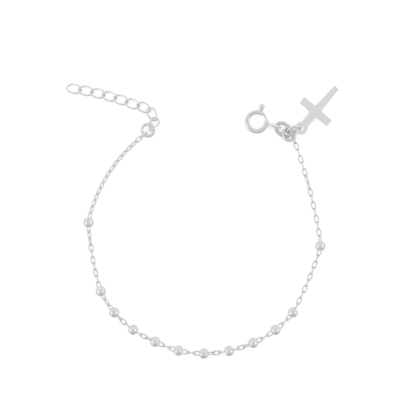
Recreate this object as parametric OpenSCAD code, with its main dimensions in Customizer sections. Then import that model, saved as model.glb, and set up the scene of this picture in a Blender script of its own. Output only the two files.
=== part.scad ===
// Rosary bracelet in fine silver, lying open on a surface.
// Seen from above, X runs to the right, Y runs away and Z is up, with the surface at Z = 0.
// All sizes are in millimetres and all angles in degrees.

/* [Beads] */
// Diameter of a bead across its corners
bead_d = 2.7; // [2.5:0.1:2.8]
// Hole that the chain runs through
bead_hole_d = 1.6; // [1.55:0.05:1.7]
// Sides of a bead
bead_sides = 12; // [8:2:12]

/* [Fine chain] */
// Outer length of a cable link
link_len = 2.52; // [2.5:0.01:2.54]
// Outer width of a cable link
link_w = 1.36; // [1.3:0.01:1.4]
// Wire of a cable link
link_wire = 0.32; // [0.28:0.01:0.33]
// Outer width of the two end links, which go round thicker wire
end_link_w = 1.54; // [1.52:0.01:1.56]

/* [Extender] */
// Outer length of a curb link
curb_len = 4.18; // [4.16:0.01:4.22]
// Outer width of a curb link
curb_w = 2.75; // [2.7:0.05:2.8]
// Wire of a curb link
curb_wire = 0.46; // [0.42:0.01:0.47]
// Twist of a curb link from its middle to its end
curb_twist = 45; // [40:1:50]

/* [Rings] */
// Outer diameter of the ring between extender and chain
joining_ring_d = 3.9; // [3.8:0.05:4]
// Wire of the joining ring
joining_ring_wire = 0.7; // [0.6:0.02:0.7]
// Outer diameter of the ring at the end of the chain
end_ring_d = 3.93; // [3.9:0.01:3.96]
// Wire of the end ring
end_ring_wire = 0.77; // [0.7:0.01:0.78]
// Outer diameter of the ring that holds the cross
cross_ring_d = 4.26; // [4.22:0.02:4.3]
// Wire of the cross ring
cross_ring_wire = 0.68; // [0.6:0.01:0.7]
// Outer length of the heavy oval link
oval_len = 5.12; // [5.08:0.02:5.16]
// Outer width of the heavy oval link
oval_w = 3.9; // [3.86:0.01:3.92]
// Wire of the heavy oval link
oval_wire = 0.92; // [0.88:0.01:0.94]

/* [Clasp] */
// Outer diameter of the bolt ring
clasp_d = 6.2; // [6.1:0.05:6.3]
// Outer diameter of its tube
tube_d = 1.1; // [1:0.05:1.2]
// Bore of its tube
bore_d = 0.8; // [0.76:0.01:0.82]
// Wire of the bolt that slides in the tube
bolt_d = 0.6; // [0.5:0.02:0.62]
// Angle that the gap in the tube takes up
gap_angle = 45; // [40:1:48]
// Travel of the bolt, which opens the gap
bolt_travel = 52; // [48:1:54]
// Diameter of the thumb nub
nub_d = 1.3; // [1.1:0.05:1.4]
// Distance from the clasp's centre to the nub's top
nub_reach = 4.85; // [4.6:0.05:5]
// Height of the soldered eye loop, which stands on edge
eye_h = 2.6; // [2.56:0.02:2.7]
// Wire of the eye loop
eye_wire = 0.68; // [0.6:0.02:0.7]
// Distance from the clasp's centre to the eye's far end
eye_reach = 6.58; // [6.54:0.01:6.62]

/* [Cross] */
// Thickness of the cross
cross_t = 0.8; // [0.7:0.05:0.8]
// Distance from the tab's hole to the crossing
cross_neck = 5.85; // [5.8:0.05:6.1]
// Distance from the crossing to the foot's tip
cross_foot = 8.5; // [8:0.1:8.8]
// Length of the cross bar
bar_len = 9.5; // [9:0.1:9.8]
// Width of the cross bar
bar_w = 1.95; // [1.8:0.05:2.1]
// Width of the upright where it meets the bar
upright_w = 2.1; // [1.9:0.05:2.2]
// Width of the upright at the foot's tip
tip_w = 1.55; // [1.4:0.05:1.7]
// Diameter of the round tab
tab_d = 3.24; // [3.2:0.02:3.3]
// Diameter of the hole in the tab
tab_hole_d = 1.6; // [1.58:0.02:1.66]

/* [Hidden] */
$fn = 48;

// Heights of the runs above the surface
chain_z = end_link_w / 2 + 0.02;
bead_z = bead_d / 2;
joining_z = 0.79;

// The chain's stops from its left end to its right end, which are its two end links and,
// between them, the twelve beads
// x, y, height of the chain there, length over which the chain comes down from it
STOPS = [
    [-15.44,  22.56, joining_z,  6],
    [-30.05,  -0.35, bead_z,     5],
    [-26.80, -18.45, bead_z,     5],
    [-23.20, -24.00, bead_z,     5],
    [-18.25, -28.55, bead_z,     5],
    [-12.45, -31.65, bead_z,     5],
    [ -6.35, -34.05, bead_z,     5],
    [  0.30, -34.80, bead_z,     5],
    [  6.95, -34.10, bead_z,     5],
    [ 13.30, -32.00, bead_z,     5],
    [ 19.15, -28.60, bead_z,     5],
    [ 23.80, -24.00, bead_z,     5],
    [ 31.10,  -6.55, bead_z,     7],
    [ 23.96,  21.30, 1.80,      11],
];
// The stretches from each stop to the next
// links between the two stops, bow of the stretch to the outside
DECADE = [3, 0.16];
STRETCHES = concat([[15, 2.4], [10, 0.5]], [for (n = [1:9]) DECADE], [[10, 0.45], [15, 0.8]]);
// How the chain lies rolled: 0 is a link that lies flat, 90 one that stands on edge, and each
// odd link stands square to this
// number of a link, roll of the even links there
ROLLS = [
    [0, 90], [2, 45], [18, 45], [20, 0], [26, 0], [28, -45], [30, -45], [33, -90], [37, -90],
    [40, -180], [46, -180], [49, -270], [53, -270], [56, -360], [61, -360], [64, -450],
    [73, -450], [76, -540], [82, -540], [85, -630], [88, -630], [90, -605],
];
BEADS = len(STOPS) - 2;
HALF_WAY = 43;

// Places of single pieces
// x, y, z, azimuth of the piece's own X axis, its pitch up, its roll about it
CURB_FIRST = [-33.80, 34.75];
CURB_LAST_STRAIGHT = [-18.43, 30.80];
CURB_BOW = 0.42;
CURB_STRAIGHT = 6;
CURB_TURN = [
    [-15.41, 29.84, 0.79,  -25.9, 2.9,  6.1],
    [-13.20, 28.02, 1.00,  -61.2, 1.6, 20.2],
    [-12.91, 25.35, 1.16, -119.1, 1.6, 33.5],
];
JOINING_RING = [-14.35, 23.86, 0.95, -47.5, -4.5, 4.5];
OVAL_LINK = [21.21, 23.93, 1.73, -37.2, 4.8, 21.4];
END_RING = [22.66, 22.65, 1.77, 37.1, -20.1, -5.4];
CROSS_RING = [23.93, 24.00, 2.06, 18.2, 0.1, 69.6];
CROSS_HOLE = [25.88, 24.35, 1.68];
CROSS_AZIMUTH = 49;
CLASP_CENTRE = [14.24, 26.10];
EYE_AZIMUTH = -13.5;

// Extender, which lies flat on the twist of its links
CURBS = CURB_STRAIGHT + len(CURB_TURN);
curb_z = 0.76;

// Clasp: the angles are counted from the eye, and the clasp leans from the eye's lower edge
// to the far side of its tube
clasp_r = (clasp_d - tube_d) / 2;
eye_foot = 3.9;
clasp_tilt = asin((eye_h - tube_d) / 2 / (clasp_r + eye_foot));
clasp_z = tube_d / 2 + clasp_r * sin(clasp_tilt);
CLASP = concat(CLASP_CENTRE, [clasp_z, EYE_AZIMUTH, clasp_tilt, 0]);
gap_start = 18.5;
nub_angle = 84.1;
slot_margin = 7.5;
slot_w = 0.66;
nub_neck_d = 0.5;
nub_waist_d = 0.9;
bolt_lead = 9.5;
bolt_tail = nub_angle + 10;
eye_near = 3.05;
knuckle_d = 0.92;

// Cross, which leans from its ring to the tip of its foot
cross_len = cross_neck + cross_foot;
cross_tilt = asin((CROSS_HOLE.z - cross_t / 2) / cross_len);
CROSS = concat(CROSS_HOLE, [CROSS_AZIMUTH, -cross_tilt, 0]);

function two(n) = n < 10 ? str("0", n) : str(n);

// Part of a rise that is left at a share u of its length
function fall(u) = u >= 1 ? 0 : (1 + cos(180 * u)) / 2;

// Point at a share t of the stretch that starts at stop k
function along(k, t) =
    let (
        a = STOPS[k],
        b = STOPS[k + 1],
        d = [b.x - a.x, b.y - a.y],
        run = norm(d),
        bow = 4 * STRETCHES[k][1] * t * (1 - t) / run
    )
    [
        a.x + t * d.x + bow * d.y,
        a.y + t * d.y - bow * d.x,
        chain_z + (a.z - chain_z) * fall(t * run / a[3]) + (b.z - chain_z) * fall((1 - t) * run / b[3])
    ];

// Points where neighbouring cable links hook into each other, in order along the chain
HOOKS = [
    for (k = [0:len(STRETCHES) - 1])
        let (steps = STRETCHES[k][0] + 1)
        for (j = [1:steps])
            along(k, (j - 0.5) / steps)
];
// The same with the free ends of the two end links
LINK_ENDS = concat(
    [2 * along(0, 0) - HOOKS[0]],
    HOOKS,
    [2 * along(len(STRETCHES) - 1, 1) - HOOKS[len(HOOKS) - 1]]
);
LINKS = len(LINK_ENDS) - 1;

// Place of cable link n, which lies straight between its two hooks
function link_place(n) =
    let (
        middle = (LINK_ENDS[n] + LINK_ENDS[n + 1]) / 2,
        d = LINK_ENDS[n + 1] - LINK_ENDS[n],
        roll = lookup(n, ROLLS) + (n % 2) * 90
    )
    concat(middle, [atan2(d.y, d.x), asin(d.z / norm(d)), roll]);

// Number of the cable link that lies inside bead n
function links_before(k) = k == 0 ? 0 : links_before(k - 1) + STRETCHES[k - 1][0] + 1;

// Centre of curb link n of the straight stretch, which runs from 0 to CURB_STRAIGHT - 1
function curb_point(n) =
    let (
        t = n / (CURB_STRAIGHT - 1),
        d = CURB_LAST_STRAIGHT - CURB_FIRST,
        bow = -4 * CURB_BOW * t * (1 - t) / norm(d)
    )
    CURB_FIRST + t * d + bow * [d.y, -d.x];

// Place of curb link n, counted from 1 at the free end
function curb_place(n) =
    n > CURB_STRAIGHT
    ? CURB_TURN[n - CURB_STRAIGHT - 1]
    : let (
        p = curb_point(n - 1),
        d = curb_point(min(n, CURB_STRAIGHT - 1)) - curb_point(max(n - 2, 0))
    )
    [p.x, p.y, curb_z, atan2(d.y, d.x), 0, 0];

// Puts a piece at its place: roll first, then pitch, then azimuth
module placed(at) {
    translate([at[0], at[1], at[2]])
        rotate([at[5], -at[4], at[3]])
            children();
}

// Round ring of wire, lying in its own XY plane
module ring(outer_d, wire) {
    rotate_extrude()
        translate([(outer_d - wire) / 2, 0])
            circle(d = wire);
}

// Link with straight sides and round ends, lying in its own XY plane along X
module long_link(len, w, wire) {
    bend_r = (w - wire) / 2;
    half_straight = (len - w) / 2;
    for (side = [-1, 1]) {
        translate([side * half_straight, 0, 0])
            rotate([0, 0, -90 * side])
                rotate_extrude(angle = 180)
                    translate([bend_r, 0])
                        circle(d = wire);
        translate([-half_straight, side * bend_r, 0])
            rotate([0, 90, 0])
                cylinder(d = wire, h = 2 * half_straight);
    }
}

// Point on a link's centre line at a share t of its length, before the twist
function link_line(t, len, w, wire) =
    let (
        r = (w - wire) / 2,
        s = (len - w) / 2,
        bend = PI * r,
        u = t * (4 * s + 2 * bend)
    )
    u < 2 * s ? [u - s, -r]
    : u < 2 * s + bend ? let (f = 180 * (u - 2 * s) / bend) [s + r * sin(f), -r * cos(f)]
    : u < 4 * s + bend ? [3 * s + bend - u, r]
    : let (f = 180 * (u - 4 * s - bend) / bend) [-s - r * sin(f), r * cos(f)];

// Curb link: a long link whose wire turns about X towards its two ends
module curb_link(len, w, wire, twist) {
    rings = 28;
    sides = 6;
    // The sides stand a little further out than the wire, so that the section keeps its area
    wire_r = wire / 2 * sqrt(2 * PI / sides / sin(360 / sides));
    half = (len - wire) / 2;
    line = [for (n = [0:rings - 1]) link_line(n / rings, len, w, wire)];
    points = [
        for (n = [0:rings - 1])
            let (
                p = line[n],
                ahead = line[(n + 1) % rings] - line[(n + rings - 1) % rings],
                out = [ahead.y, -ahead.x] / norm(ahead),
                f = twist * p.x / half
            )
            for (m = [0:sides - 1])
                let (
                    g = 360 * m / sides,
                    q = [p.x + out.x * wire_r * cos(g), p.y + out.y * wire_r * cos(g), wire_r * sin(g)]
                )
                [q.x, q.y * cos(f) - q.z * sin(f), q.y * sin(f) + q.z * cos(f)]
    ];
    faces = [
        for (n = [0:rings - 1])
            for (m = [0:sides - 1])
                let (
                    a = n * sides + m,
                    b = n * sides + (m + 1) % sides,
                    c = ((n + 1) % rings) * sides + (m + 1) % sides,
                    d = ((n + 1) % rings) * sides + m
                )
                each [[a, b, c], [a, c, d]]
    ];
    polyhedron(points = points, faces = faces, convexity = 4);
}

// Round bead with rows of flat facets, drilled for the chain
module bead(n) {
    rows = [-50, -25, 0, 25, 50];
    profile = [for (f = rows) bead_d / 2 * [cos(f), sin(f)]];
    ends = [[0, profile[len(rows) - 1].y], [0, profile[0].y]];
    color("gainsboro")
        placed(link_place(links_before(n)))
            rotate([0, 90, 0])
                difference() {
                    rotate_extrude($fn = bead_sides)
                        polygon(concat(profile, ends));
                    cylinder(d = bead_hole_d, h = 2 * bead_d, center = true);
                }
}

// Run of the fine cable chain
module fine_chain(first, last) {
    color("silver")
        for (n = [first:last])
            placed(link_place(n))
                long_link(link_len, n == 0 || n == LINKS - 1 ? end_link_w : link_w, link_wire);
}

// One link of the extender
module extender_link(n) {
    color("silver")
        placed(curb_place(n))
            curb_link(curb_len, curb_w, curb_wire, curb_twist);
}

// Ring between the extender and the fine chain
module joining_ring() {
    color("silver")
        placed(JOINING_RING)
            ring(joining_ring_d, joining_ring_wire);
}

// Hollow tube of the bolt ring, with its gap and slot, and its eye loop soldered on
module clasp_ring() {
    eye_len = eye_reach - eye_near;
    slot_start = nub_angle - slot_margin;
    slot_angle = bolt_travel + 2 * slot_margin;
    color("gainsboro")
        placed(CLASP)
            difference() {
                union() {
                    rotate([0, 0, gap_start + gap_angle])
                        rotate_extrude(angle = 360 - gap_angle)
                            translate([clasp_r, 0])
                                circle(d = tube_d);
                    translate([clasp_r, 0, 0])
                        rotate([0, 90, 0])
                            cylinder(d = knuckle_d, h = eye_near + eye_wire - clasp_r);
                    translate([eye_near + eye_len / 2, 0, 0])
                        rotate([90, 0, 0])
                            long_link(eye_len, eye_h, eye_wire);
                }
                ring(2 * clasp_r + bore_d, bore_d);
                rotate([0, 0, slot_start])
                    rotate_extrude(angle = slot_angle)
                        translate([clasp_r, -slot_w / 2])
                            square([tube_d, slot_w]);
            }
}

// Bolt that slides round inside the tube, with the nub that the thumb pulls
module clasp_bolt() {
    waist_from = clasp_d / 2 + 0.15;
    head_from = clasp_d / 2 + 0.75;
    dome_from = nub_reach - 0.25;
    color("silver")
        placed(CLASP) {
            rotate([0, 0, bolt_lead])
                rotate_extrude(angle = bolt_tail - bolt_lead)
                    translate([clasp_r, 0])
                        circle(d = bolt_d);
            rotate([0, 0, nub_angle])
                rotate([0, 90, 0]) {
                    translate([0, 0, clasp_r])
                        cylinder(d = nub_neck_d, h = head_from - clasp_r);
                    translate([0, 0, waist_from])
                        cylinder(d = nub_waist_d, h = head_from - waist_from);
                    translate([0, 0, head_from])
                        cylinder(d = nub_d, h = dome_from - head_from);
                    translate([0, 0, dome_from])
                        cylinder(d1 = nub_d, d2 = 0.6 * nub_d, h = nub_reach - dome_from);
                }
        }
}

// Heavy oval link that hangs the chain's end on the clasp's eye
module oval_link() {
    color("gainsboro")
        placed(OVAL_LINK)
            long_link(oval_len, oval_w, oval_wire);
}

// Ring at the chain's end, through the oval link and the cross ring
module end_ring() {
    color("silver")
        placed(END_RING)
            ring(end_ring_d, end_ring_wire);
}

// Ring that stands on edge and goes through the cross's tab
module cross_ring() {
    color("silver")
        placed(CROSS_RING)
            ring(cross_ring_d, cross_ring_wire);
}

// Flat cross with a round drilled tab on its head
module cross() {
    neck_start = tab_d / 2 - 0.3;
    color("lightgray")
        placed(CROSS)
            translate([0, 0, -cross_t / 2])
                linear_extrude(cross_t)
                    difference() {
                        union() {
                            circle(d = tab_d);
                            polygon([
                                [neck_start, -upright_w / 2],
                                [cross_neck, -upright_w / 2],
                                [cross_len, -tip_w / 2],
                                [cross_len, tip_w / 2],
                                [cross_neck, upright_w / 2],
                                [neck_start, upright_w / 2]
                            ]);
                            translate([cross_neck - bar_w / 2, -bar_len / 2])
                                square([bar_w, bar_len]);
                        }
                        circle(d = tab_hole_d);
                    }
}

for (n = [1:BEADS])
    bead(n);
fine_chain(0, HALF_WAY - 1);  // fine_chain_left
fine_chain(HALF_WAY, LINKS - 1);  // fine_chain_right
for (n = [1:CURBS])
    extender_link(n);
joining_ring();
clasp_ring();
clasp_bolt();
oval_link();
end_ring();
cross_ring();
cross();
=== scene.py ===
from math import acos, atan2, cos, degrees, pi, radians, sin, sqrt

import bpy
from mathutils import Matrix, Vector
from mathutils.geometry import tessellate_polygon


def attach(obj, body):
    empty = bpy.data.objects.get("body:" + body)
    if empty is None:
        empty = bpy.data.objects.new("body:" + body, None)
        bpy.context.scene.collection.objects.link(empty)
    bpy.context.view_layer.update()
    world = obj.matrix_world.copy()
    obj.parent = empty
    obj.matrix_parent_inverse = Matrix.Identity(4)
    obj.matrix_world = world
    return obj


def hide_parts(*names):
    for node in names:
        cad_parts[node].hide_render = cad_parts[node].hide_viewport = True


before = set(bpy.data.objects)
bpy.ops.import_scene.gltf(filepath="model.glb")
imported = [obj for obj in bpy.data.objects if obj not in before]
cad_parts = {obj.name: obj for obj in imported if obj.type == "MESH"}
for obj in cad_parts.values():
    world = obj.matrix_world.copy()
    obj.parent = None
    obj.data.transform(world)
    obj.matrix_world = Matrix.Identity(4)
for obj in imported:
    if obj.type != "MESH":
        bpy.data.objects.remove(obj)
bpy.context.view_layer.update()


# Fine cable chain
# Ninety-one oval links of drawn silver wire, each bent round the last one, closed and soldered.
# The chain comes off the reel in one run and is cut to length; its two end links are opened
# wider, because they go round the thicker wire of the rings. It lies twisted, as it fell.
MM = 0.001
LINK_LEN = 2.52
LINK_W = 1.36
END_LINK_W = 1.54
LINK_WIRE = 0.32
LINK_END_R = 0.36
LINK_SOLDER = 0.06
CHAIN_Z = END_LINK_W / 2 + 0.02
BEAD_D = 2.7
BEAD_Z = BEAD_D / 2
JOINING_Z = 0.79
# x, y, height of the chain at the stop, length over which it comes down from it
STOPS = [
    (-15.44, 22.56, JOINING_Z, 6),
    (-30.05, -0.35, BEAD_Z, 5),
    (-26.80, -18.45, BEAD_Z, 5),
    (-23.20, -24.00, BEAD_Z, 5),
    (-18.25, -28.55, BEAD_Z, 5),
    (-12.45, -31.65, BEAD_Z, 5),
    (-6.35, -34.05, BEAD_Z, 5),
    (0.30, -34.80, BEAD_Z, 5),
    (6.95, -34.10, BEAD_Z, 5),
    (13.30, -32.00, BEAD_Z, 5),
    (19.15, -28.60, BEAD_Z, 5),
    (23.80, -24.00, BEAD_Z, 5),
    (31.10, -6.55, BEAD_Z, 7),
    (23.96, 21.30, 1.80, 11),
]
# Links between two stops, bow of the stretch
STRETCHES = [(15, 2.4), (10, 0.5)] + [(3, 0.16)] * 9 + [(10, 0.45), (15, 0.8)]
# Number of an even link, its roll
ROLLS = [
    (0, 90), (2, 45), (18, 45), (20, 0), (26, 0), (28, -45), (30, -45), (33, -90), (37, -90),
    (40, -180), (46, -180), (49, -270), (53, -270), (56, -360), (61, -360), (64, -450),
    (73, -450), (76, -540), (82, -540), (85, -630), (88, -630), (90, -605),
]
HALF_WAY = 43


def fall(u):
    # How far the chain has come down at a share u of its way down, from 1 at the stop to 0
    return 0 if u >= 1 else (1 + cos(pi * u)) / 2


def along(k, t):
    # Point at a share t of stretch k, bowed sideways and raised where it nears its two stops
    ax, ay, az, a_fall = STOPS[k]
    bx, by, bz, b_fall = STOPS[k + 1]
    dx = bx - ax
    dy = by - ay
    run = sqrt(dx * dx + dy * dy)
    bow = 4 * STRETCHES[k][1] * t * (1 - t) / run
    rise = (az - CHAIN_Z) * fall(t * run / a_fall) + (bz - CHAIN_Z) * fall((1 - t) * run / b_fall)
    return Vector((ax + t * dx + bow * dy, ay + t * dy - bow * dx, CHAIN_Z + rise))


def roll_of(n):
    # Roll of link n; each second link stands across its neighbours
    for (n0, r0), (n1, r1) in zip(ROLLS, ROLLS[1:]):
        if n0 <= n <= n1:
            return r0 + (r1 - r0) * (n - n0) / (n1 - n0) + (n % 2) * 90


hooks = []
link_in_bead = []
for k in range(len(STRETCHES)):
    if k:
        link_in_bead.append(len(hooks))
    steps = STRETCHES[k][0] + 1
    hooks += [along(k, (j + 0.5) / steps) for j in range(steps)]
first_end = 2 * along(0, 0) - hooks[0]
last_end = 2 * along(len(STRETCHES) - 1, 1) - hooks[-1]
link_ends = [first_end] + hooks + [last_end]
link_places = []
for n in range(len(link_ends) - 1):
    d = link_ends[n + 1] - link_ends[n]
    pitch = degrees(atan2(d.z, sqrt(d.x * d.x + d.y * d.y)))
    middle = (link_ends[n] + link_ends[n + 1]) / 2
    link_places.append((*middle, degrees(atan2(d.y, d.x)), pitch, roll_of(n)))


def placed(x, y, z, azimuth=0, pitch=0, roll=0):
    # Place in millimetres, with the piece's X axis turned to azimuth and raised by pitch, then rolled
    turn = Matrix.Rotation(radians(azimuth), 4, "Z") @ Matrix.Rotation(radians(-pitch), 4, "Y")
    return Matrix.Translation(Vector((x, y, z)) * MM) @ turn @ Matrix.Rotation(radians(roll), 4, "X")


def oval(length, width, wire, per_bend, per_side):
    # Centre line of a link with straight sides, and at each point the direction out of the loop
    r = (width - wire) / 2
    s = (length - width) / 2
    points = []
    for side in (1, -1):
        for n in range(per_bend):
            f = pi * n / per_bend - pi / 2
            points.append((side * (s + r * cos(f)), side * r * sin(f), side * cos(f), side * sin(f)))
        for n in range(per_side):
            points.append((side * (s - 2 * s * n / per_side), side * r, 0, side))
    return points


def bowed_oval(length, width, wire, end_r, per_end, per_side):
    # The same for a link with narrow ends and bowed sides, made of four arcs that run into each other
    far = (length - wire) / 2
    half = (width - wire) / 2
    end_x = far - end_r
    side_r = (end_x ** 2 + half ** 2 - end_r ** 2) / (2 * (half - end_r))
    turn = atan2(side_r - half, end_x)
    points = []
    for side in (1, -1):
        for n in range(per_end):
            f = 2 * turn * n / per_end - turn
            x = end_x + end_r * cos(f)
            points.append((side * x, side * end_r * sin(f), side * cos(f), side * sin(f)))
        for n in range(per_side):
            f = turn + (pi - 2 * turn) * n / per_side
            y = side_r * sin(f) - side_r + half
            points.append((side * side_r * cos(f), side * y, side * cos(f), side * sin(f)))
    return points


def wire_loop(points, wire, sides, solder=0.0):
    # Round wire along a closed flat line, swollen by the share solder where its ends are joined
    verts = []
    count = len(points)
    for n, (x, y, ox, oy) in enumerate(points):
        swell = 1 + solder * max(0, 1 - (min(n, count - n) / 2.5) ** 2)
        for m in range(sides):
            g = 2 * pi * m / sides
            c = wire / 2 * swell * cos(g)
            verts.append((x + ox * c, y + oy * c, wire / 2 * swell * sin(g)))
    faces = []
    for n in range(count):
        for m in range(sides):
            a = n * sides
            b = (n + 1) % count * sides
            faces.append((a + m, b + m, b + (m + 1) % sides, a + (m + 1) % sides))
    return verts, faces


def make_piece(name, shells):
    # One object from several shells, each a list of corners in millimetres, faces and a place
    verts = []
    faces = []
    for shell_verts, shell_faces, place in shells:
        start = len(verts)
        verts += [place @ (Vector(v) * MM) for v in shell_verts]
        faces += [tuple(start + i for i in f) for f in shell_faces]
    mesh = bpy.data.meshes.new(name)
    mesh.from_pydata(verts, [], faces)
    mesh.validate()
    mesh.polygons.foreach_set("use_smooth", [True] * len(mesh.polygons))
    mesh.update()
    piece = bpy.data.objects.new(name, mesh)
    bpy.context.scene.collection.objects.link(piece)
    return piece


def silver(name, light, dark, smooth_at, rough_at, grain, dent, scratch):
    # Bare silver: light and dark shades wander over it, and so do polish, dents and fine scratches
    mat = bpy.data.materials.new(name)
    mat.use_nodes = True
    nodes = mat.node_tree.nodes
    links = mat.node_tree.links
    skin = nodes["Principled BSDF"]
    skin.inputs["Metallic"].default_value = 1.0
    where = nodes.new("ShaderNodeTexCoord")
    cloud = nodes.new("ShaderNodeTexNoise")
    cloud.inputs["Scale"].default_value = grain
    cloud.inputs["Detail"].default_value = 4
    links.new(where.outputs["Object"], cloud.inputs["Vector"])
    shade = nodes.new("ShaderNodeValToRGB")
    shade.color_ramp.elements[0].position = 0.35
    shade.color_ramp.elements[0].color = (*dark, 1)
    shade.color_ramp.elements[1].position = 0.65
    shade.color_ramp.elements[1].color = (*light, 1)
    links.new(cloud.outputs["Fac"], shade.inputs["Fac"])
    links.new(shade.outputs["Color"], skin.inputs["Base Color"])
    polish = nodes.new("ShaderNodeMapRange")
    polish.inputs["To Min"].default_value = smooth_at
    polish.inputs["To Max"].default_value = rough_at
    fine = nodes.new("ShaderNodeTexNoise")
    fine.inputs["Scale"].default_value = grain * 3.1
    fine.inputs["Detail"].default_value = 6
    links.new(where.outputs["Object"], fine.inputs["Vector"])
    links.new(fine.outputs["Fac"], polish.inputs["Value"])
    links.new(polish.outputs["Result"], skin.inputs["Roughness"])
    dents = nodes.new("ShaderNodeBump")
    dents.inputs["Strength"].default_value = dent
    dents.inputs["Distance"].default_value = 0.00004
    links.new(cloud.outputs["Fac"], dents.inputs["Height"])
    along_x = nodes.new("ShaderNodeMapping")
    along_x.inputs["Scale"].default_value = (grain * 0.7, grain * 14, grain * 14)
    along_x.inputs["Rotation"].default_value = (0.3, 0.2, 0.9)
    links.new(where.outputs["Object"], along_x.inputs["Vector"])
    lines = nodes.new("ShaderNodeTexNoise")
    lines.inputs["Scale"].default_value = 1
    lines.inputs["Detail"].default_value = 2
    links.new(along_x.outputs["Vector"], lines.inputs["Vector"])
    scratches = nodes.new("ShaderNodeBump")
    scratches.inputs["Strength"].default_value = scratch
    scratches.inputs["Distance"].default_value = 0.000006
    links.new(lines.outputs["Fac"], scratches.inputs["Height"])
    links.new(dents.outputs["Normal"], scratches.inputs["Normal"])
    links.new(scratches.outputs["Normal"], skin.inputs["Normal"])
    return mat


chain_silver = silver(
    "chain silver", (0.81, 0.807, 0.80), (0.72, 0.717, 0.71), 0.18, 0.30, 2600, 0.10, 0.2,
)
for name, node, first, last in (
    ("cable_left", "fine_chain_left", 0, HALF_WAY),
    ("cable_right", "fine_chain_right", HALF_WAY, len(link_places)),
):
    shells = []
    for n in range(first, last):
        if n in (0, len(link_places) - 1):
            bent = oval(LINK_LEN, END_LINK_W, LINK_WIRE, 12, 3)
        else:
            bent = bowed_oval(LINK_LEN, LINK_W, LINK_WIRE, LINK_END_R, 12, 5)
        wire = wire_loop(bent, LINK_WIRE, 10, LINK_SOLDER)
        shells.append((*wire, placed(*link_places[n])))
    chain = make_piece(name, shells)
    chain.data.materials.append(chain_silver)
    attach(chain, "bracelet")
    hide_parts(node)


# Beads
# Twelve hollow silver balls, one, then the decade of ten, then one, each drilled through and
# threaded on a link of the chain. Rows of flats are cut round them with a diamond tool, so that
# each flat throws the light its own way, and the rims of the two holes are left plain.
BEAD_HOLE_D = 1.6
BEAD_CUTS = 16
RIM_LAT = 53
BORE_LIP = 0.02
BORE_LIP_DEPTH = 0.2
CROWN = 0.5
# How far each bead has turned on the chain and how far it is askew, in degrees
BEAD_TURNS = [0, 13, 4, 17, 7, 20, 10, 2, 14, 5, 18, 9]
BEAD_ASKEW = [4, -3, 5, -5, 2, -4, 3, 5, -2, 4, -5, 3]
bead_silver = silver(
    "cut bead silver", (0.85, 0.847, 0.84), (0.76, 0.757, 0.75), 0.08, 0.16, 1500, 0.12, 0.15,
)


def cut_bead():
    r = BEAD_D / 2
    # latitude of a ring of corners, counted from the bead's waist, and its turn in half steps
    rows = [(-RIM_LAT, 0), (-32, 1), (-11, 0), (11, 1), (32, 0), (RIM_LAT, 1)]
    verts = []
    for lat, half in rows:
        for m in range(BEAD_CUTS):
            g = 2 * pi * (m + half / 2) / BEAD_CUTS
            rho = r * cos(radians(lat))
            verts.append((r * sin(radians(lat)), rho * cos(g), rho * sin(g)))
    faces = []
    for k in range(len(rows) - 1):
        for m in range(BEAD_CUTS):
            n = (m + 1) % BEAD_CUTS
            a = k * BEAD_CUTS
            b = a + BEAD_CUTS
            if rows[k][1] == 0:
                faces += [(a + m, a + n, b + m), (b + m, a + n, b + n)]
            else:
                faces += [(a + m, a + n, b + n), (a + m, b + n, b + m)]
    # rim of the hole, then the wall of the bore
    rim_x = r * sin(radians(RIM_LAT))
    hole_r = BEAD_HOLE_D / 2
    outer = 0
    for x, rho in (
        (-rim_x, hole_r - BORE_LIP),
        (-rim_x + BORE_LIP_DEPTH, hole_r),
        (rim_x - BORE_LIP_DEPTH, hole_r),
        (rim_x, hole_r - BORE_LIP),
    ):
        inner = len(verts)
        for m in range(BEAD_CUTS):
            g = 2 * pi * m / BEAD_CUTS
            verts.append((x, rho * cos(g), rho * sin(g)))
        for m in range(BEAD_CUTS):
            n = (m + 1) % BEAD_CUTS
            faces.append((outer + m, inner + m, inner + n, outer + n))
        outer = inner
    last = (len(rows) - 1) * BEAD_CUTS
    for m in range(BEAD_CUTS):
        n = (m + 1) % BEAD_CUTS
        faces.append((outer + m, last + m, last + n, outer + n))
    return verts, faces


bead_verts, bead_faces = cut_bead()
for n, link in enumerate(link_in_bead):
    x, y, z, azimuth, pitch, roll = link_places[link]
    place = placed(x, y, z, azimuth + BEAD_ASKEW[n], pitch, roll + BEAD_TURNS[n])
    bead = make_piece(f"cut_bead_{n + 1:02d}", [(bead_verts, bead_faces, place)])
    # The tool leaves each flat a little crowned; rims and bore stay as they are
    middle = Vector((x, y, z)) * MM
    crowned = []
    for flat in bead.data.polygons:
        for v in flat.vertices:
            out = (bead.data.vertices[v].co - middle).normalized()
            lean = CROWN if flat.normal.dot(out) > 0.8 else 0
            crowned.append((flat.normal * (1 - lean) + out * lean).normalized())
    bead.data.normals_split_custom_set(crowned)
    bead.data.materials.append(bead_silver)
    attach(bead, "bracelet")
    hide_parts(f"bead_{n + 1:02d}")


# Extender
# Nine open curb links of thicker wire, so that the bracelet can be closed on any of them.
# Each link is bent like a cable link and then twisted a quarter turn between the jaws, which
# lets the finished chain lie flat. The last link is hung on the joining ring.
CURB_LEN = 4.18
CURB_W = 2.75
CURB_WIRE = 0.46
CURB_TWIST = 45
CURB_SOLDER = 0.05
CURB_FIRST = Vector((-33.80, 34.75))
CURB_LAST_STRAIGHT = Vector((-18.43, 30.80))
CURB_BOW = 0.42
CURB_STRAIGHT = 6
CURB_Z = 0.76
CURB_TURN = [
    (-15.41, 29.84, 0.79, -25.9, 2.9, 6.1),
    (-13.20, 28.02, 1.00, -61.2, 1.6, 20.2),
    (-12.91, 25.35, 1.16, -119.1, 1.6, 33.5),
]
extender_silver = silver(
    "extender silver", (0.85, 0.847, 0.84), (0.78, 0.777, 0.77), 0.20, 0.32, 1700, 0.10, 0.2,
)


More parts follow.
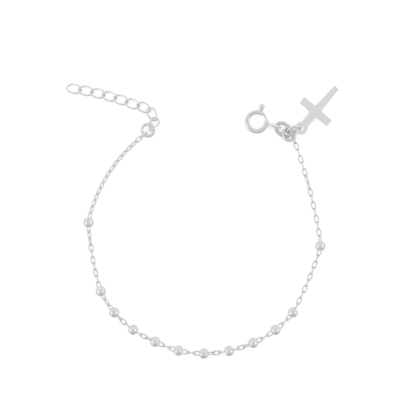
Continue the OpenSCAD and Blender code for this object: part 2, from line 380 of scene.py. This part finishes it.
def curb_point(n):
    # Middle of link n in the straight part of the extender, which sags in a slight bow
    t = n / (CURB_STRAIGHT - 1)
    d = CURB_LAST_STRAIGHT - CURB_FIRST
    bow = -4 * CURB_BOW * t * (1 - t) / d.length
    return CURB_FIRST + t * d + bow * Vector((d.y, -d.x))


curb_places = []
for n in range(CURB_STRAIGHT):
    d = curb_point(min(n + 1, CURB_STRAIGHT - 1)) - curb_point(max(n - 1, 0))
    p = curb_point(n)
    curb_places.append((p.x, p.y, CURB_Z, degrees(atan2(d.y, d.x)), 0, 0))
curb_places += CURB_TURN

curb_bent = oval(CURB_LEN, CURB_W, CURB_WIRE, 16, 6)
curb_verts, curb_faces = wire_loop(curb_bent, CURB_WIRE, 14, CURB_SOLDER)
half = (CURB_LEN - CURB_WIRE) / 2
twisted = []
for x, y, z in curb_verts:
    f = radians(CURB_TWIST) * max(-1, min(1, x / half))
    twisted.append((x, y * cos(f) - z * sin(f), y * sin(f) + z * cos(f)))
for n, at in enumerate(curb_places):
    link = make_piece(f"curb_link_{n + 1}", [(twisted, curb_faces, placed(*at))])
    link.data.materials.append(extender_silver)
    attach(link, "bracelet")
    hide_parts(f"extender_link_{n + 1}")


# Joining ring
# Round jump ring of hard-drawn wire, opened sideways with two pliers and closed again round the
# last extender link and the first link of the chain. Its ends butt together without solder.
JOINING_RING_D = 3.9
JOINING_RING_WIRE = 0.7
JOINING_RING = (-14.35, 23.86, 0.95, -47.5, -4.5, 4.5)
RING_CUT = 0.03
ring_silver = silver(
    "ring silver", (0.86, 0.857, 0.85), (0.72, 0.717, 0.71), 0.07, 0.18, 1300, 0.10, 0.2,
)


def jump_ring(outer_d, wire, cut_at, cut):
    # Round wire bent to a ring, its two sawn ends a hair apart and softly rounded
    r = (outer_d - wire) / 2
    around = 72
    sides = 18
    verts = []
    half_cut = cut / r / 2
    steps = [cut_at + half_cut + (2 * pi - 2 * half_cut) * n / around for n in range(around + 1)]
    rings = [(steps[0], 0.0), (steps[0], 0.9)]
    rings += [(a, 1.0) for a in steps]
    rings += [(steps[-1], 0.9), (steps[-1], 0.0)]
    bevel = 0.04 / r
    rings[2] = (steps[0] + bevel, 1.0)
    rings[-3] = (steps[-1] - bevel, 1.0)
    for a, share in rings:
        for m in range(sides):
            g = 2 * pi * m / sides
            rho = r + wire / 2 * share * cos(g)
            verts.append((rho * cos(a), rho * sin(a), wire / 2 * share * sin(g)))
    faces = []
    for n in range(len(rings) - 1):
        for m in range(sides):
            a = n * sides
            b = a + sides
            faces.append((a + m, b + m, b + (m + 1) % sides, a + (m + 1) % sides))
    return verts, faces


joining = make_piece("joining_jump_ring", [
    (*jump_ring(JOINING_RING_D, JOINING_RING_WIRE, 2.2, RING_CUT), placed(*JOINING_RING)),
])
joining.data.materials.append(ring_silver)
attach(joining, "bracelet")
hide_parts("joining_ring")


# Bolt ring clasp
# Thin tube bent to a ring, open for an eighth of its round where it takes the other end of the
# bracelet. A slot is sawn along its outer side for the thumb nub, and a loop of wire, the eye,
# is soldered on edge to its other side.
CLASP_D = 6.2
TUBE_D = 1.1
BORE_D = 0.80
GAP_START = 18.5
GAP_ANGLE = 45
NUB_ANGLE = 84.1
BOLT_TRAVEL = 52
SLOT_MARGIN = 7.5
SLOT_W = 0.66
MOUTH_LIP = 0.05
EYE_H = 2.6
EYE_WIRE = 0.68
EYE_NEAR = 3.05
EYE_REACH = 6.58
EYE_FOOT = 3.9
KNUCKLE_D = 0.92
KNUCKLE_SIDES = 18
clasp_r = (CLASP_D - TUBE_D) / 2
clasp_tilt = 90 - degrees(acos((EYE_H - TUBE_D) / 2 / (clasp_r + EYE_FOOT)))
clasp_z = TUBE_D / 2 + clasp_r * sin(radians(clasp_tilt))
CLASP = (14.24, 26.10, clasp_z, -13.5, clasp_tilt, 0)
clasp_silver = silver(
    "clasp silver", (0.83, 0.827, 0.82), (0.71, 0.707, 0.70), 0.06, 0.17, 1100, 0.10, 0.2,
)


def clasp_tube():
    # Sections round the ring, finer along the slot, where they are open on their outer side
    start = GAP_START + GAP_ANGLE
    end = GAP_START + 360
    slot_from = NUB_ANGLE - SLOT_MARGIN
    slot_to = NUB_ANGLE + BOLT_TRAVEL + SLOT_MARGIN
    half_slot = degrees(pi / 2 - acos(SLOT_W / TUBE_D))
    angles = [start, start + 1]
    angles += [start + 1 + (slot_from - 0.5 - start - 1) * n / 5 for n in range(1, 6)]
    angles += [slot_from + (slot_to - slot_from) * n / 24 for n in range(25)]
    angles += [slot_to + 0.5 + (end - 1 - slot_to - 0.5) * n / 84 for n in range(85)]
    angles.append(end)
    sides = 24
    verts = []
    for a in angles:
        lip = MOUTH_LIP if a in (start, end) else 0
        open_here = slot_from <= a <= slot_to
        for r in (TUBE_D / 2 - lip, BORE_D / 2 + 0.3 * lip):
            for m in range(sides + 1):
                g = half_slot + (360 - 2 * half_slot) * m / sides if open_here else 360 * m / sides
                g = radians(g)
                rho = clasp_r + r * cos(g)
                verts.append((rho * cos(radians(a)), rho * sin(radians(a)), r * sin(g)))
    row = sides + 1
    faces = []
    for n in range(len(angles) - 1):
        a = 2 * n * row
        b = a + 2 * row
        for m in range(sides):
            faces.append((a + m, b + m, b + m + 1, a + m + 1))
            faces.append((a + row + m + 1, b + row + m + 1, b + row + m, a + row + m))
        both_open = slot_from <= angles[n] and angles[n + 1] <= slot_to
        if both_open:
            faces.append((a, a + row, b + row, b))
            faces.append((a + sides, b + sides, b + row + sides, a + row + sides))
    # the tube's two mouths
    for n, flip in ((0, False), (len(angles) - 1, True)):
        a = 2 * n * row
        for m in range(sides):
            f = (a + m, a + m + 1, a + row + m + 1, a + row + m)
            faces.append(tuple(reversed(f)) if flip else f)
    # walls at the slot's two ends
    for n in (angles.index(slot_from), angles.index(slot_to)):
        a = 2 * n * row
        faces.append((a, a + sides, a + row + sides, a + row))
    return verts, faces


eye_len = EYE_REACH - EYE_NEAR
eye_verts, eye_faces = wire_loop(oval(eye_len, EYE_H, EYE_WIRE, 24, 6), EYE_WIRE, 18)
eye_place = placed(*CLASP) @ placed(EYE_NEAR + eye_len / 2, 0, 0, 0, 0, 90)
# The knuckle of solder between tube and eye: distance from the clasp's centre, thickness
knuckle_verts = []
knuckle_faces = []
for n, (x, d) in enumerate((
    (clasp_r + 0.42, 1.10),
    (clasp_r + 0.55, 1.0),
    (clasp_r + 0.7, KNUCKLE_D),
    (EYE_NEAR + 0.45, 0.86),
    (EYE_NEAR + EYE_WIRE - 0.05, 0.74),
)):
    for m in range(KNUCKLE_SIDES):
        g = 2 * pi * m / KNUCKLE_SIDES
        knuckle_verts.append((x, d / 2 * cos(g), d / 2 * sin(g)))
    if n:
        for m in range(KNUCKLE_SIDES):
            a = (n - 1) * KNUCKLE_SIDES
            b = a + KNUCKLE_SIDES
            next_m = (m + 1) % KNUCKLE_SIDES
            knuckle_faces.append((a + m, a + next_m, b + next_m, b + m))
tube_verts, tube_faces = clasp_tube()
clasp = make_piece("bolt_ring_tube", [
    (tube_verts, tube_faces, placed(*CLASP)),
    (eye_verts, eye_faces, eye_place),
    (knuckle_verts, knuckle_faces, placed(*CLASP)),
])
clasp.data.set_sharp_from_angle(angle=radians(40))
clasp.data.materials.append(clasp_silver)
# The eye and its joint get a duller skin, and a paler colour that is a painted highlight for the bright
# glints on them
clasp.data.materials.append(silver(
    "eye silver, painted highlight", (0.97, 0.967, 0.96), (0.90, 0.897, 0.89), 0.24, 0.38, 1100, 0.10, 0.2,
))
for face in clasp.data.polygons:
    if face.index >= len(tube_faces):
        face.material_index = 1
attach(clasp, "bracelet")
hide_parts("clasp_ring")


# Bolt
# Curved wire that a hidden spring pushes across the gap in the tube. The thumb nub, a small
# turned knob, is riveted to it through the slot and draws it back.
BOLT_D = 0.6
BOLT_SIDES = 16
NUB_SIDES = 28
BOLT_LEAD = 9.5
BOLT_NOSE = 3
BOLT_TAIL = NUB_ANGLE + 10
NUB_REACH = 4.85
bolt_verts = []
bolt_faces = []
# angle round the clasp, share of the full thickness; the nose is rounded
nose_end = BOLT_LEAD + BOLT_NOSE
bolt_angles = [(BOLT_LEAD, 0.0), (BOLT_LEAD, 0.5), (BOLT_LEAD + 1.2, 0.85), (nose_end, 1.0)]
bolt_angles += [(nose_end + (BOLT_TAIL - nose_end) * n / 30, 1.0) for n in range(1, 31)]
bolt_angles.append((BOLT_TAIL, 0.0))
for n, (a, share) in enumerate(bolt_angles):
    for m in range(BOLT_SIDES):
        g = 2 * pi * m / BOLT_SIDES
        rho = clasp_r + BOLT_D / 2 * share * cos(g)
        bolt_verts.append((rho * cos(radians(a)), rho * sin(radians(a)), BOLT_D / 2 * share * sin(g)))
    if n:
        for m in range(BOLT_SIDES):
            a = (n - 1) * BOLT_SIDES
            b = a + BOLT_SIDES
            next_m = (m + 1) % BOLT_SIDES
            bolt_faces.append((a + m, b + m, b + next_m, a + next_m))
# radius and distance from the clasp's centre, from the stem to the top of the knob
NUB_PROFILE = [
    (0.25, clasp_r), (0.25, 3.12), (0.42, 3.16), (0.46, 3.26), (0.44, 3.42),
    (0.47, 3.58), (0.56, 3.70), (0.63, 3.84), (0.65, 4.02), (0.65, 4.38),
    (0.62, 4.57), (0.54, 4.71), (0.38, 4.81), (0.19, 4.845), (0.0, NUB_REACH),
]
nub_verts = []
nub_faces = []
for n, (r, x) in enumerate(NUB_PROFILE):
    for m in range(NUB_SIDES):
        g = 2 * pi * m / NUB_SIDES
        nub_verts.append((x, r * cos(g), r * sin(g)))
    if n:
        for m in range(NUB_SIDES):
            a = (n - 1) * NUB_SIDES
            b = a + NUB_SIDES
            next_m = (m + 1) % NUB_SIDES
            nub_faces.append((a + m, a + next_m, b + next_m, b + m))
bolt = make_piece("bolt_with_nub", [
    (bolt_verts, bolt_faces, placed(*CLASP)),
    (nub_verts, nub_faces, placed(*CLASP) @ Matrix.Rotation(radians(NUB_ANGLE), 4, "Z")),
])
bolt.data.set_sharp_from_angle(angle=radians(50))
bolt.data.materials.append(clasp_silver)
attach(bolt, "bolt")
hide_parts("clasp_bolt")


# Oval link, end ring and cross ring
# The heavy oval link hangs on the clasp's eye and is soldered shut. A jump ring through it takes
# the end of the chain, and a wider one, which stands on edge, takes the cross.
OVAL_LEN = 5.12
OVAL_W = 3.90
OVAL_WIRE = 0.92
OVAL_LINK = (21.21, 23.93, 1.73, -37.2, 4.8, 21.4)
END_RING_D = 3.93
END_RING_WIRE = 0.77
END_RING = (22.66, 22.65, 1.77, 37.1, -20.1, -5.4)
CROSS_RING_D = 4.26
CROSS_RING_WIRE = 0.68
CROSS_RING = (23.93, 24.00, 2.06, 18.2, 0.1, 69.6)
oval_verts, oval_faces = wire_loop(oval(OVAL_LEN, OVAL_W, OVAL_WIRE, 30, 6), OVAL_WIRE, 20)
oval_piece = make_piece("oval_heavy_link", [(oval_verts, oval_faces, placed(*OVAL_LINK))])
end_piece = make_piece("end_jump_ring", [
    (*jump_ring(END_RING_D, END_RING_WIRE, 4.0, RING_CUT), placed(*END_RING)),
])
cross_loop = make_piece("cross_jump_ring", [
    (*jump_ring(CROSS_RING_D, CROSS_RING_WIRE, 3.4, RING_CUT), placed(*CROSS_RING)),
])
# The oval link is dulled by wear, and its darker colour is painted shade for the shadow among the parts
# clustered round it; the jump rings keep the polish that they were drawn with
dull_shaded_silver = silver(
    "dull oval link silver, painted shade", (0.72, 0.717, 0.71), (0.62, 0.617, 0.61), 0.30, 0.42, 1300, 0.12, 0.2,
)
for piece, node, skin in (
    (oval_piece, "oval_link", dull_shaded_silver),
    (end_piece, "end_ring", ring_silver),
    (cross_loop, "cross_ring", ring_silver),
):
    piece.data.materials.append(skin)
    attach(piece, "bracelet")
    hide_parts(node)


# Cross
# Stamped from thick silver sheet in one piece with its round tab, drilled for the ring, and
# polished flat on both faces. Its edges are only broken with a file, so they keep a thin bevel,
# which widens along the foot's lower edge. It hangs on the cross ring by its tab.
CROSS_T = 0.8
CROSS_NECK = 5.85
CROSS_FOOT = 8.5
BAR_LEN = 9.5
BAR_W = 1.95
UPRIGHT_W = 2.1
TIP_W = 1.55
TAB_D = 3.24
TAB_HOLE_D = 1.6
CROSS_HOLE = (25.88, 24.35, 1.68)
CROSS_AZIMUTH = 49
CROSS_EDGE = 0.07
FOOT_EDGE = 0.44
INNER_CORNER = 0.34
OUTER_CORNER = 0.16
cross_len = CROSS_NECK + CROSS_FOOT
cross_tilt = 90 - degrees(acos((CROSS_HOLE[2] - CROSS_T / 2) / cross_len))
cross_silver = silver(
    "cross silver", (0.90, 0.897, 0.895), (0.88, 0.877, 0.875), 0.20, 0.28, 500, 0.05, 0.08,
)

tab_r = TAB_D / 2
neck_half = degrees(pi / 2 - acos(UPRIGHT_W / 2 / tab_r))
# The outline runs round the tab and then from corner to corner round the arms and the foot
outline = []
for n in range(49):
    f = radians(neck_half + (360 - 2 * neck_half) * n / 48)
    outline.append((tab_r * cos(f), tab_r * sin(f)))
bar_near = CROSS_NECK - BAR_W / 2
bar_far = CROSS_NECK + BAR_W / 2
foot_half = UPRIGHT_W / 2 - (UPRIGHT_W - TIP_W) / 2 * BAR_W / 2 / CROSS_FOOT
corners = [
    (bar_near, -UPRIGHT_W / 2), (bar_near, -BAR_LEN / 2), (bar_far, -BAR_LEN / 2), (bar_far, -foot_half),
    (cross_len, -TIP_W / 2), (cross_len, TIP_W / 2),
    (bar_far, foot_half), (bar_far, BAR_LEN / 2), (bar_near, BAR_LEN / 2), (bar_near, UPRIGHT_W / 2),
]
# Each corner is worn a little round, the four inner ones more than the outer ones
for n, (x, y) in enumerate(corners):
    here = Vector((x, y))
    before = Vector(corners[n - 1] if n else outline[-1]) - here
    after = Vector(corners[n + 1] if n + 1 < len(corners) else outline[0]) - here
    cut = INNER_CORNER if n in (0, 3, 6, 9) else OUTER_CORNER
    for m in range(5):
        t = m / 4
        arc = here + before.normalized() * cut * (1 - t) ** 2 + after.normalized() * cut * t ** 2
        outline.append((arc.x, arc.y))
hole = []
for n in range(40):
    f = 2 * pi * n / 40
    hole.append((TAB_HOLE_D / 2 * cos(f), -TAB_HOLE_D / 2 * sin(f)))
# Rows of corners along the outline and round the hole, from the lower face up to the upper one
plate_verts = []
plate_faces = []
rims = []
for loop in (outline, hole):
    loop = [Vector(p) for p in loop]
    rows = []
    for height, inset in ((-1, 1), (-1, 0), (1, 0), (1, 1)):
        row = []
        for n, p in enumerate(loop):
            a = (p - loop[n - 1]).normalized()
            b = (loop[(n + 1) % len(loop)] - p).normalized()
            inward = Vector((-a.y - b.y, a.x + b.x)).normalized()
            # The file has taken more off the foot's lower edge, most of all at its tip
            wide = FOOT_EDGE if height > 0 and p.x > cross_len - 0.4 and p.y < 0 else CROSS_EDGE
            q = p + inward * wide * inset / max(0.5, inward.dot(Vector((-a.y, a.x))))
            row.append((q.x, q.y, height * (CROSS_T / 2 - wide * (1 - inset))))
        rows.append(row)
    start = len(plate_verts)
    for row in rows:
        plate_verts += row
    count = len(loop)
    for k in range(len(rows) - 1):
        for n in range(count):
            m = (n + 1) % count
            c = start + k * count
            plate_faces.append((c + n, c + m, c + count + m, c + count + n))
    rims.append((start, start + (len(rows) - 1) * count, rows[0], rows[-1]))
# The two faces of the plate are filled in between the outline and the hole
for which, flip in ((0, True), (1, False)):
    loops = [[Vector((x, y, 0)) for x, y, z in rim[2 + which]] for rim in rims]
    numbers = [rim[which] + n for rim in rims for n in range(len(rim[2]))]
    for f in tessellate_polygon(loops):
        corners = [numbers[i] for i in f]
        a, b, c = (Vector(plate_verts[i][:2]) for i in corners)
        turned = (b - a).cross(c - a) < 0
        plate_faces.append(tuple(reversed(corners)) if turned != flip else tuple(corners))
cross_place = placed(*CROSS_HOLE, CROSS_AZIMUTH, -cross_tilt, 0)
cross = make_piece("flat_cross", [(plate_verts, plate_faces, cross_place)])
cross_mesh = cross.data
cross_mesh.set_sharp_from_angle(angle=radians(30))
cross_mesh.materials.append(cross_silver)
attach(cross, "bracelet")
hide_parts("cross")


# Table, light and camera
# The bracelet lies on a sheet of white paper in a light tent, which is lit from both sides. The
# camera hangs far above it and looks straight down.
VIEW_MIDDLE = (0.50, 4.08)
VIEW_W = 107.57
paper = bpy.data.meshes.new("paper")
reach = 1.5
sheet = [(-reach, -reach, 0), (reach, -reach, 0), (reach, reach, 0), (-reach, reach, 0)]
paper.from_pydata(sheet, [], [(0, 1, 2, 3)])
floor_piece = bpy.data.objects.new("paper_floor", paper)
bpy.context.scene.collection.objects.link(floor_piece)
paper_mat = bpy.data.materials.new("white paper")
paper_mat.use_nodes = True
paper_skin = paper_mat.node_tree.nodes["Principled BSDF"]
paper_skin.inputs["Base Color"].default_value = (0.55, 0.55, 0.55, 1)
paper_skin.inputs["Roughness"].default_value = 0.9
paper_skin.inputs["Specular IOR Level"].default_value = 0.0
paper_skin.inputs["Emission Strength"].default_value = 0.62
# The paper is lit until it turns pure white; in the deep gaps that metal closes in, its glow is turned
# near black, a painted shade set by how closed in each point is
open_sky = paper_mat.node_tree.nodes.new("ShaderNodeAmbientOcclusion")
open_sky.samples = 8
open_sky.inputs["Distance"].default_value = 0.004
painted_gap_shade = paper_mat.node_tree.nodes.new("ShaderNodeValToRGB")
painted_gap_shade.color_ramp.elements[0].position = 0.16
painted_gap_shade.color_ramp.elements[0].color = (0.03, 0.02, 0.015, 1)
painted_gap_shade.color_ramp.elements[1].position = 0.32
painted_gap_shade.color_ramp.elements[1].color = (1, 1, 1, 1)
paper_mat.node_tree.links.new(open_sky.outputs["AO"], painted_gap_shade.inputs["Fac"])
paper_mat.node_tree.links.new(painted_gap_shade.outputs["Color"], paper_skin.inputs["Emission Color"])
paper.materials.append(paper_mat)
floor_piece.visible_glossy = False

# The tent's tone by height, from the grey below the table's edge to the middle of its roof
world = bpy.data.worlds.new("light tent")
bpy.context.scene.world = world
world.use_nodes = True
sky = world.node_tree.nodes
wires = world.node_tree.links
toward = sky.new("ShaderNodeTexCoord")
parts = sky.new("ShaderNodeSeparateXYZ")
wires.new(toward.outputs["Generated"], parts.inputs["Vector"])
level = sky.new("ShaderNodeMapRange")
level.inputs["From Min"].default_value = -1
wires.new(parts.outputs["Z"], level.inputs["Value"])
sides_of_tent = []
for tones_by_level in (
    ((0.0, 0.62), (0.35, 0.56), (0.60, 0.58), (0.74, 0.68), (0.88, 0.80), (1.0, 0.86)),
    ((0.0, 0.74), (0.24, 0.78), (0.42, 0.95), (0.56, 0.90), (0.76, 0.86), (1.0, 0.86)),
):
    tones = sky.new("ShaderNodeValToRGB")
    stops = tones.color_ramp.elements
    for at, tone in tones_by_level[1:-1]:
        stops.new(at)
    for stop, (at, tone) in zip(stops, tones_by_level):
        stop.position = at
        stop.color = (tone, tone, tone, 1)
    wires.new(level.outputs["Result"], tones.inputs["Fac"])
    sides_of_tent.append(tones.outputs["Color"])
front_to_back = sky.new("ShaderNodeMapRange")
front_to_back.interpolation_type = "SMOOTHSTEP"
front_to_back.inputs["From Min"].default_value = -0.35
front_to_back.inputs["From Max"].default_value = 0.15
wires.new(parts.outputs["Y"], front_to_back.inputs["Value"])
both = sky.new("ShaderNodeMix")
both.data_type = "RGBA"
wires.new(front_to_back.outputs["Result"], both.inputs["Factor"])
wires.new(sides_of_tent[0], both.inputs["A"])
wires.new(sides_of_tent[1], both.inputs["B"])
tent = both.outputs["Result"]
# A softbox to the left and one to the right, a dimmer panel over the table, and the white paper's
# own light from the two front corners
# azimuth, height above the horizon, full out to, gone at, tone that it is taken to
for azimuth, height, full, gone, tone in (
    (190, 32, 9, 20, 1.4),
    (-10, 32, 9, 20, 1.4),
    (225, 85, 5, 36, 0.72),
    (212, -4, 10, 30, 1.1),
    (-30, -4, 8, 26, 1.0),
):
    facing = sky.new("ShaderNodeVectorMath")
    facing.operation = "DOT_PRODUCT"
    out = cos(radians(height))
    facing.inputs[1].default_value = (
        out * cos(radians(azimuth)),
        out * sin(radians(azimuth)),
        sin(radians(height)),
    )
    wires.new(toward.outputs["Generated"], facing.inputs[0])
    near = sky.new("ShaderNodeMapRange")
    near.interpolation_type = "SMOOTHSTEP"
    near.inputs["From Min"].default_value = cos(radians(gone))
    near.inputs["From Max"].default_value = cos(radians(full))
    wires.new(facing.outputs["Value"], near.inputs["Value"])
    mix = sky.new("ShaderNodeMix")
    mix.data_type = "RGBA"
    mix.inputs["B"].default_value = (tone, tone, tone, 1)
    wires.new(near.outputs["Result"], mix.inputs["Factor"])
    wires.new(tent, mix.inputs["A"])
    tent = mix.outputs["Result"]
wires.new(tent, sky["Background"].inputs["Color"])

lens = bpy.data.cameras.new("camera")
lens.lens = 200
lens.sensor_width = 36
lens.sensor_fit = "HORIZONTAL"
lens.clip_start = 0.01
lens.clip_end = 10
camera = bpy.data.objects.new("camera", lens)
bpy.context.scene.collection.objects.link(camera)
camera.location = (VIEW_MIDDLE[0] * MM, VIEW_MIDDLE[1] * MM, VIEW_W * MM * lens.lens / lens.sensor_width)
bpy.context.scene.camera = camera
bpy.context.scene.view_settings.view_transform = "Standard"
bpy.context.scene.view_settings.look = "None"
